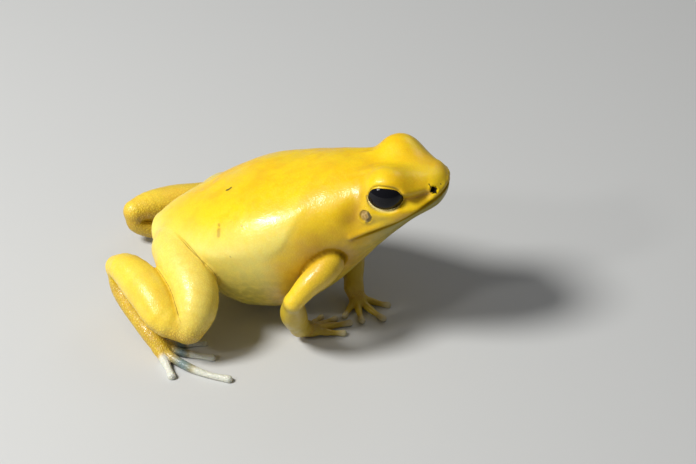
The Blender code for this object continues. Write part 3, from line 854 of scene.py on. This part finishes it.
# Regions of trunk and head, and the depth of colour that each zone takes from them.
flank = soft_step(-up, -5.2, -1.5) * soft_step(31.5 - along, 0.0, 8.0)
flank *= 1 - 0.75 * soft_step(fold_side, -0.8, 1.4) * soft_step(along, 19.0, 23.0)
# Painted shade round each arm's root, and ochre with painted shade at the nape.
armpit_shade = bell(np.maximum(arms, 0), 2.4) * (1 - on_limb)
nape_ochre_and_shade = bell(np.hypot(along - NAPE[0], 1.2 * (up - NAPE[1])), NAPE_HALF_SIZE) * (1 - on_limb)
ZONES = {
    # Ochre: painted shade in the creases, the mouth groove, on the flank fold's lower side and round
    # the armpits; partly the skin's own ochre and partly painted shade behind the ears, at the nape and
    # in the hollows before the eyes; and darker low on the legs.
    "fold": np.clip(
        0.4 * crease + 0.5 * bell(mouth_gap, 0.45) + 0.45 * bell(neck_gap, 1.1) + 0.45 * nape_ochre_and_shade
        + 0.9 * bell(hollow_gap, 0.42) + 0.3 * fold_reach * soft_step(fold_side, -0.3, 0.6)
        + 0.5 * armpit_shade + 0.25 * on_leg * soft_step(-places[:, 2], -7.5, -4.5), 0, 0.95),
    # Painted shade: thin dark lines at the bottom of the creases and along the mouth slit.
    "line": np.clip(crease_line + bell(mouth_gap, 0.35) * soft_step(along, 31.5, 36.0), 0, 1),
    "seam_body": body - limbs,
    "seam_knee": thighs - shanks,
    "seam_foot": shanks - tarsi,
    "seam_mouth": np.where(along > LIP_BACK[0] - 1, mouth_height(along) - up, AWAY),
    # Painted shade: olive where the skin faces down, on the undersides of trunk and limbs, and at half
    # strength on the feet.
    "under": np.maximum(
        (1 - on_limb) * soft_step(-normals[:, 2], -0.2, 0.6),
        on_limb * np.maximum(soft_step(-normals[:, 2], 0.1, 0.9), 0.5 * on_tarsus)),
    # Painted shade: olive on the lower jaw under the lip's overhang.
    "jaw": below_mouth * soft_step(along, 33.0, 39.0),
    "lemon": (1 - on_limb) * flank + on_limb * (1 - 0.5 * on_arm) * (
        0.35 + 0.45 * on_thigh * soft_step(places[:, 2], 3.0, 9.0)),
    # Painted shade: darker olive on the hands and forearms.
    "hand": on_hand,
    "blue": bell(toe_share - 0.4, 0.18) * (outer_toe < 0),
    "pale": np.max((
        soft_step(toe_share, 0.5, 0.6), soft_step(outer_toe, 0.2, 0.4),
        0.5 * soft_step(share, 0.7, 1.0)), axis=0),
    "rim": (1 - soft_step(lid_share, 1.15, 1.4)) * soft_step(0.5 - lid_rise, 0.0, 0.9),
    "ear": ear_share,
    "ear_front": along - EAR[0] - 0.5 * (up - EAR[1]),
    # Also where the nostrils' black is painted, as shade in their openings.
    "nostril": nostril_gap,
    "scar": marks_gap(SCARS),
    "speck": marks_gap(SPECKS),
    "grain": 0.14 + 0.08 * on_limb + 0.68 * on_leg * soft_step(-places[:, 2], -8.0, -5.0),
}
for name, values in ZONES.items():
    zone = skin_mesh.attributes.new(name, "FLOAT", "POINT")
    zone.data.foreach_set("value", np.asarray(values, np.float32))


# The skin's finish: moist pigmented skin, golden on head and back, lemon on flanks and limbs and cream
# at the toe tips, with painted shade in olive underneath, on the jaw and hands, and mostly painted
# shade in ochre in the folds. It is made of coats laid over one another, and fine grain breaks up its
# shine.
GOLD = (0.95, 0.64, 0.006)
DEEP_GOLD = (0.90, 0.54, 0.005)
LEMON = (0.93, 0.78, 0.17)
# Olive is painted shade on the undersides and the lower jaw.
SHADE_OLIVE = (0.34, 0.28, 0.028)
# Ochre is mostly painted shade in the folds, and it also tints the granules' grooves.
OCHRE = (0.50, 0.26, 0.010)
# Brown is painted shade in the crease lines, and the specks' own colour.
BROWN = (0.14, 0.075, 0.008)
HAND_SHADE_OLIVE = (0.30, 0.24, 0.035)
TOE_BLUE = (0.20, 0.27, 0.26)
TOE_CREAM = (0.74, 0.74, 0.62)
RIM_CREAM = (0.86, 0.76, 0.36)
EAR_PINK = (0.55, 0.38, 0.17)
EAR_BROWN = (0.34, 0.20, 0.06)
# Soot colours the scars and the ears' crescents, and is painted shade in the nostrils.
SOOT = (0.012, 0.010, 0.008)
# How many times each pattern would repeat in a metre, from broad patches to pores.
PATCH_RATE = 260.0
WET_RATE = 330.0
SWELL_RATE = 430.0
BEND_RATE = 700.0
MOTTLE_RATE = 900.0
SHEEN_RATE = 1100.0
GRAIN_RATE = 2300.0
CELL_RATE = 2500.0
RAGGED_RATE = 2600.0
PORE_RATE = 5200.0
# In metres: heights of the three sizes of relief, how far the granules' edges are bent, and how
# deep light goes into the skin.
SWELL_HEIGHT = 0.00012
GRAIN_HEIGHT = 0.00005
PORE_HEIGHT = 0.00002
CELL_BEND = 0.0009
SKIN_DEPTH = 0.0006


class Finish:
    """A material with its node tree, and short ways to add the nodes that it takes. All patterns
    lie on the skin's own Object coordinates."""

    def __init__(self, name):
        self.material = bpy.data.materials.new(name)
        self.material.use_nodes = True
        self.tree = self.material.node_tree
        self.shader = self.tree.nodes["Principled BSDF"]
        self.places = self.node("ShaderNodeTexCoord").outputs["Object"]

    def node(self, kind, **settings):
        """A new node of this kind with these settings."""
        made = self.tree.nodes.new(kind)
        for name, value in settings.items():
            setattr(made, name, value)
        return made

    def put(self, socket, value):
        """A socket joined to another socket, or set to a colour, a row of numbers or a number."""
        if isinstance(value, bpy.types.NodeSocket):
            self.tree.links.new(value, socket)
        elif isinstance(value, tuple):
            socket.default_value = (*value, 1.0)[:len(socket.default_value)]
        else:
            socket.default_value = value

    def zone(self, name):
        """The values that the mesh keeps under this name."""
        return self.node("ShaderNodeAttribute", attribute_name=name).outputs["Fac"]

    def noise(self, rate, detail):
        """Cloudy noise from zero to one, with so many sizes of detail."""
        made = self.node("ShaderNodeTexNoise")
        self.put(made.inputs["Vector"], self.places)
        self.put(made.inputs["Scale"], rate)
        self.put(made.inputs["Detail"], detail)
        return made.outputs["Fac"]

    def cells(self, rate):
        """Flat-topped granules of uneven size, parted by grooves: zero in the grooves, else one,
        from the distance to the edges of cells whose places are bent by noise."""
        bent = self.node("ShaderNodeVectorMath", operation="MULTIPLY_ADD")
        self.put(bent.inputs[0], self.noise(BEND_RATE, 2.0))
        self.put(bent.inputs[1], (CELL_BEND, CELL_BEND, CELL_BEND))
        self.put(bent.inputs[2], self.places)
        made = self.node("ShaderNodeTexVoronoi", feature="DISTANCE_TO_EDGE")
        self.put(made.inputs["Vector"], bent.outputs["Vector"])
        self.put(made.inputs["Scale"], rate)
        return self.ramp(made.outputs["Distance"], 0.02, 0.28)

    def maths(self, operation, first, second):
        """Two values put through one operation of arithmetic."""
        made = self.node("ShaderNodeMath", operation=operation)
        self.put(made.inputs[0], first)
        self.put(made.inputs[1], second)
        return made.outputs[0]

    def times(self, first, second):
        """The product of two values."""
        return self.maths("MULTIPLY", first, second)

    def ramp(self, value, start, end, low=0.0, high=1.0):
        """An even ease from low at start to high at end, level outside."""
        made = self.node("ShaderNodeMapRange", interpolation_type="SMOOTHSTEP")
        for socket, given in zip(made.inputs, (value, start, end, low, high)):
            self.put(socket, given)
        return made.outputs["Result"]

    def mix(self, share, first, second):
        """The first colour turned into the second by this share."""
        made = self.node("ShaderNodeMix", data_type="RGBA")
        self.put(made.inputs["Factor"], share)
        self.put(made.inputs["A"], first)
        self.put(made.inputs["B"], second)
        return made.outputs["Result"]

    def bump(self, height, distance, strength, under=None):
        """The way the surface faces once relief of this height is laid over the relief under it."""
        made = self.node("ShaderNodeBump")
        self.put(made.inputs["Height"], height)
        self.put(made.inputs["Distance"], distance)
        self.put(made.inputs["Strength"], strength)
        if under is not None:
            self.put(made.inputs["Normal"], under)
        return made.outputs["Normal"]


def ground_colour(paint, cells):
    """Gold in two depths, then lemon, olive and ochre mixed in by their zones' depth, which the mottle
    thins. The olive on hands, undersides and jaw is painted shade, and so is most of the ochre of the
    fold zone."""
    patches = paint.noise(PATCH_RATE, 4.0)
    mottle = paint.noise(MOTTLE_RATE, 5.0)
    colour = paint.mix(paint.ramp(patches, 0.40, 0.68), GOLD, DEEP_GOLD)
    lemon = paint.times(paint.zone("lemon"), paint.ramp(mottle, 0.2, 0.7, 0.7, 1.0))
    colour = paint.mix(lemon, colour, LEMON)
    # Painted shade in olive on the hands and forearms.
    colour = paint.mix(paint.times(paint.zone("hand"), 0.55), colour, HAND_SHADE_OLIVE)
    # Painted shade in olive on the undersides and feet, thinned by the mottle.
    under = paint.times(paint.zone("under"), paint.ramp(mottle, 0.3, 0.65, 0.45, 0.8))
    colour = paint.mix(under, colour, SHADE_OLIVE)
    grooves = paint.times(paint.ramp(cells, 0.6, 0.0), paint.zone("grain"))
    colour = paint.mix(paint.times(grooves, 0.6), colour, OCHRE)
    # Ochre of the fold zone, mostly painted shade.
    fold = paint.times(paint.zone("fold"), paint.ramp(mottle, 0.25, 0.6, 0.75, 1.0))
    colour = paint.mix(fold, colour, OCHRE)
    # Painted shade in olive on the lower jaw.
    return paint.mix(paint.zone("jaw"), colour, SHADE_OLIVE)


def marked_colour(paint, colour):
    """Over the ground colour, thin brown lines of painted shade where two parts meet at no distance and
    along the mouth slit, the toes' and lids' own colours, then ears, specks, scars and nostrils, whose
    edges noise makes ragged. The nostrils' black is painted shade in their openings."""
    seam = AWAY
    for part in ("body", "knee", "foot", "mouth"):
        beside = paint.maths("ABSOLUTE", paint.zone("seam_" + part), 0.0)
        seam = paint.maths("MINIMUM", seam, beside)
    # Painted shade: thin brown lines in the creases and the mouth slit.
    line = paint.times(paint.ramp(seam, 0.13, 0.02), paint.zone("line"))
    colour = paint.mix(paint.times(line, 0.85), colour, BROWN)
    for zone, coat in (("blue", TOE_BLUE), ("pale", TOE_CREAM), ("rim", RIM_CREAM)):
        colour = paint.mix(paint.zone(zone), colour, coat)
    ragged = paint.ramp(paint.noise(RAGGED_RATE, 2.0), 0.2, 0.8, -0.12, 0.12)
    ear = paint.maths("ADD", paint.zone("ear"), ragged)
    drum = paint.mix(paint.ramp(ragged, -0.04, 0.05), EAR_BROWN, EAR_PINK)
    colour = paint.mix(paint.ramp(ear, 1.05, 0.6, 0.0, 0.85), colour, drum)
    crescent = paint.times(paint.ramp(ear, 0.25, 0.75), paint.ramp(ear, 1.2, 0.95))
    crescent = paint.times(crescent, paint.ramp(paint.zone("ear_front"), -0.1, 0.4))
    colour = paint.mix(paint.times(crescent, 0.85), colour, SOOT)
    for zone, start, end, coat, strength in (
        ("speck", 1.5, 0.5, BROWN, 0.42),
        ("scar", 1.2, 0.7, SOOT, 0.9),
        # The nostrils' black is painted shade in their openings.
        ("nostril", 0.62, 0.42, SOOT, 1.0),
    ):
        gap = paint.maths("ADD", paint.zone(zone), ragged)
        colour = paint.mix(paint.ramp(gap, start, end, 0.0, strength), colour, coat)
    return colour


def relief(paint, cells):
    """Three sizes of relief, each laid over the one before: soft swellings, then granules that
    grow with the grain zone, then fine pores."""
    swellings = paint.bump(paint.noise(SWELL_RATE, 2.0), SWELL_HEIGHT, 0.5)
    granules = paint.maths("ADD", cells, paint.noise(GRAIN_RATE, 3.0))
    granules = paint.times(granules, paint.zone("grain"))
    grain = paint.bump(granules, GRAIN_HEIGHT, 1.0, swellings)
    return paint.bump(paint.noise(PORE_RATE, 2.0), PORE_HEIGHT, 0.4, grain)


def skin_material():
    """All coats and relief on one shader, whose shine is patchy, and dry in seams and nostrils."""
    paint = Finish("golden_skin")
    cells = paint.cells(CELL_RATE)
    dry = paint.ramp(paint.zone("nostril"), 0.5, 0.8)
    dry = paint.times(dry, paint.ramp(paint.zone("line"), 0.03, 0.3, 1.0, 0.0))
    shader = paint.shader.inputs
    paint.put(shader["Base Color"], marked_colour(paint, ground_colour(paint, cells)))
    sheen = paint.ramp(paint.noise(SHEEN_RATE, 4.0), 0.35, 0.65, 0.34, 0.52)
    paint.put(shader["Roughness"], sheen)
    paint.put(shader["Specular IOR Level"], paint.times(dry, 0.4))
    wet = paint.ramp(paint.noise(WET_RATE, 2.0), 0.44, 0.60, 0.10, 0.5)
    paint.put(shader["Coat Weight"], paint.times(dry, wet))
    paint.put(shader["Coat Roughness"], 0.17)
    paint.put(shader["Subsurface Weight"], 0.08)
    paint.put(shader["Subsurface Radius"], (1.0, 0.5, 0.05))
    paint.put(shader["Subsurface Scale"], SKIN_DEPTH)
    facing = relief(paint, cells)
    paint.put(shader["Normal"], facing)
    paint.put(shader["Coat Normal"], facing)
    return paint.material


skin_mesh.shade_smooth()
skin_mesh.materials.append(skin_material())
skin = add_object("skin", skin_mesh)
FLESH_NODES = [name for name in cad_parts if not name.startswith("eye")]
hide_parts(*FLESH_NODES)
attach(skin, "root")


# The eyes: wet black balls whose iris can't be told from the pupil, each with a slightly fuller
# clear front. They are seated in the head behind the lids, and drawn in where the lids hide them.
EYE_ROWS, EYE_COLUMNS = 72, 112
# The lids hide the ball beyond this far to the rear, the front, the top and the bottom.
BALL_SHOWN = (2.30, 2.45, 1.47, 1.60)
BALL_TUCK = 0.12
TUCK_END = 1.25
CORNEA_HEIGHT = 0.02
CORNEA_SPREAD = 0.7


def eye_surface(side):
    """A slightly flattened ball from sines and cosines of the angle from the gaze and round it,
    raised in its middle by a bell of that angle, and drawn toward its centre under the lids."""
    angles = np.linspace(0, math.pi, EYE_ROWS + 2)[1:-1]
    turns = np.linspace(0, 2 * math.pi, EYE_COLUMNS + 1)[:-1]
    angle, turn = np.meshgrid(angles, turns, indexing="ij")
    raised = 1 + CORNEA_HEIGHT * bell(angle, CORNEA_SPREAD)
    parts = (np.sin(angle) * np.cos(turn), np.sin(angle) * np.sin(turn), np.cos(angle))
    own_places = np.stack(parts, axis=-1).reshape(-1, 3) * raised.reshape(-1, 1)
    poles = np.array(((0.0, 0.0, 1 + CORNEA_HEIGHT), (0.0, 0.0, -1.0)))
    own_places = np.vstack((own_places, poles)) * BALL_HALF_SIZE
    share = almond_share(own_places[:, 0], own_places[:, 1], *BALL_SHOWN)
    own_places *= 1 - BALL_TUCK * soft_step(share, 1.0, TUCK_END)[:, None]
    return ball_centre(side) + own_places @ np.array(eye_axes(side))


def ball_faces(rows, columns):
    """Quads between neighbouring rings, and triangles from the first and last ring to the poles."""
    ring, step = np.meshgrid(np.arange(rows - 1), np.arange(columns), indexing="ij")
    here, beside = ring * columns + step, ring * columns + (step + 1) % columns
    quads = np.stack((here, here + columns, beside + columns, beside), axis=-1).reshape(-1, 4)
    step = np.arange(columns)
    beside, last = (step + 1) % columns, (rows - 1) * columns
    first_cap = np.stack((np.full(columns, rows * columns), step, beside), axis=-1)
    last_cap = np.stack((np.full(columns, rows * columns + 1), last + beside, last + step), axis=-1)
    return [*quads.tolist(), *first_cap.tolist(), *last_cap.tolist()]


def plain_material(name, colour, roughness, shine):
    """A material that is the same all over: its colour, roughness and strength of reflection."""
    material = bpy.data.materials.new(name)
    material.use_nodes = True
    shader = material.node_tree.nodes["Principled BSDF"]
    shader.inputs["Base Color"].default_value = colour
    shader.inputs["Roughness"].default_value = roughness
    shader.inputs["Specular IOR Level"].default_value = shine
    return material


EYE_BLACK = plain_material("black_eye", (0.006, 0.006, 0.008, 1.0), 0.05, 0.22)
for name, side in (("right", -1), ("left", 1)):
    mesh = bpy.data.meshes.new("eye_ball_" + name)
    mesh.from_pydata(eye_surface(side) * MM, [], ball_faces(EYE_ROWS, EYE_COLUMNS))
    cage = bmesh.new()
    cage.from_mesh(mesh)
    bmesh.ops.recalc_face_normals(cage, faces=cage.faces)
    cage.to_mesh(mesh)
    cage.free()
    mesh.shade_smooth()
    mesh.materials.append(EYE_BLACK)
    eye = add_object("eye_ball_" + name, mesh)
    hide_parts("eye_" + name)
    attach(eye, "root")


# The setting: one flat sheet of plain pale floor, laid level under the hands and feet, and three
# round soft lights in a dim room, the strongest from above and a little to the camera's left.
FLOOR_HALF_SIDE = 1.5
LIGHT_AIM = Vector((0, 0, 0.012))
ROOM_COLOUR = (0.9, 0.93, 1.0, 1.0)
ROOM_STRENGTH = 0.13
# Name, place, width in metres, power in watts.
LIGHTS = (
    ("key", (-0.25, -0.16, 0.36), 0.13, 2.25),
    ("glint", (-0.27, -0.32, 0.28), 0.05, 0.3),
    ("rim", (0.10, 0.33, 0.30), 0.20, 0.12),
)


def set_light(name, place, width, power):
    """A round soft light that faces the middle of the frog."""
    data = bpy.data.lights.new(name, "AREA")
    data.shape = "DISK"
    data.size = width
    data.energy = power
    light = add_object(name, data)
    turn = (LIGHT_AIM - Vector(place)).to_track_quat("-Z", "Y").to_matrix()
    light.matrix_world = Matrix.Translation(place) @ turn.to_4x4()


floor_mesh = bpy.data.meshes.new("floor")
floor_corners = FLOOR_HALF_SIDE * np.array(((-1, -1, 0), (1, -1, 0), (1, 1, 0), (-1, 1, 0)))
floor_mesh.from_pydata(floor_corners, [], [(0, 1, 2, 3)])
floor_mesh.materials.append(plain_material("pale_floor", (0.62, 0.62, 0.60, 1.0), 0.7, 0.5))
floor = add_object("floor", floor_mesh)
for light in LIGHTS:
    set_light(*light)
world = bpy.data.worlds.new("soft_room")
world.use_nodes = True
world.node_tree.nodes["Background"].inputs["Color"].default_value = ROOM_COLOUR
world.node_tree.nodes["Background"].inputs["Strength"].default_value = ROOM_STRENGTH
bpy.context.scene.world = world
bpy.context.scene.view_settings.view_transform = "Standard"
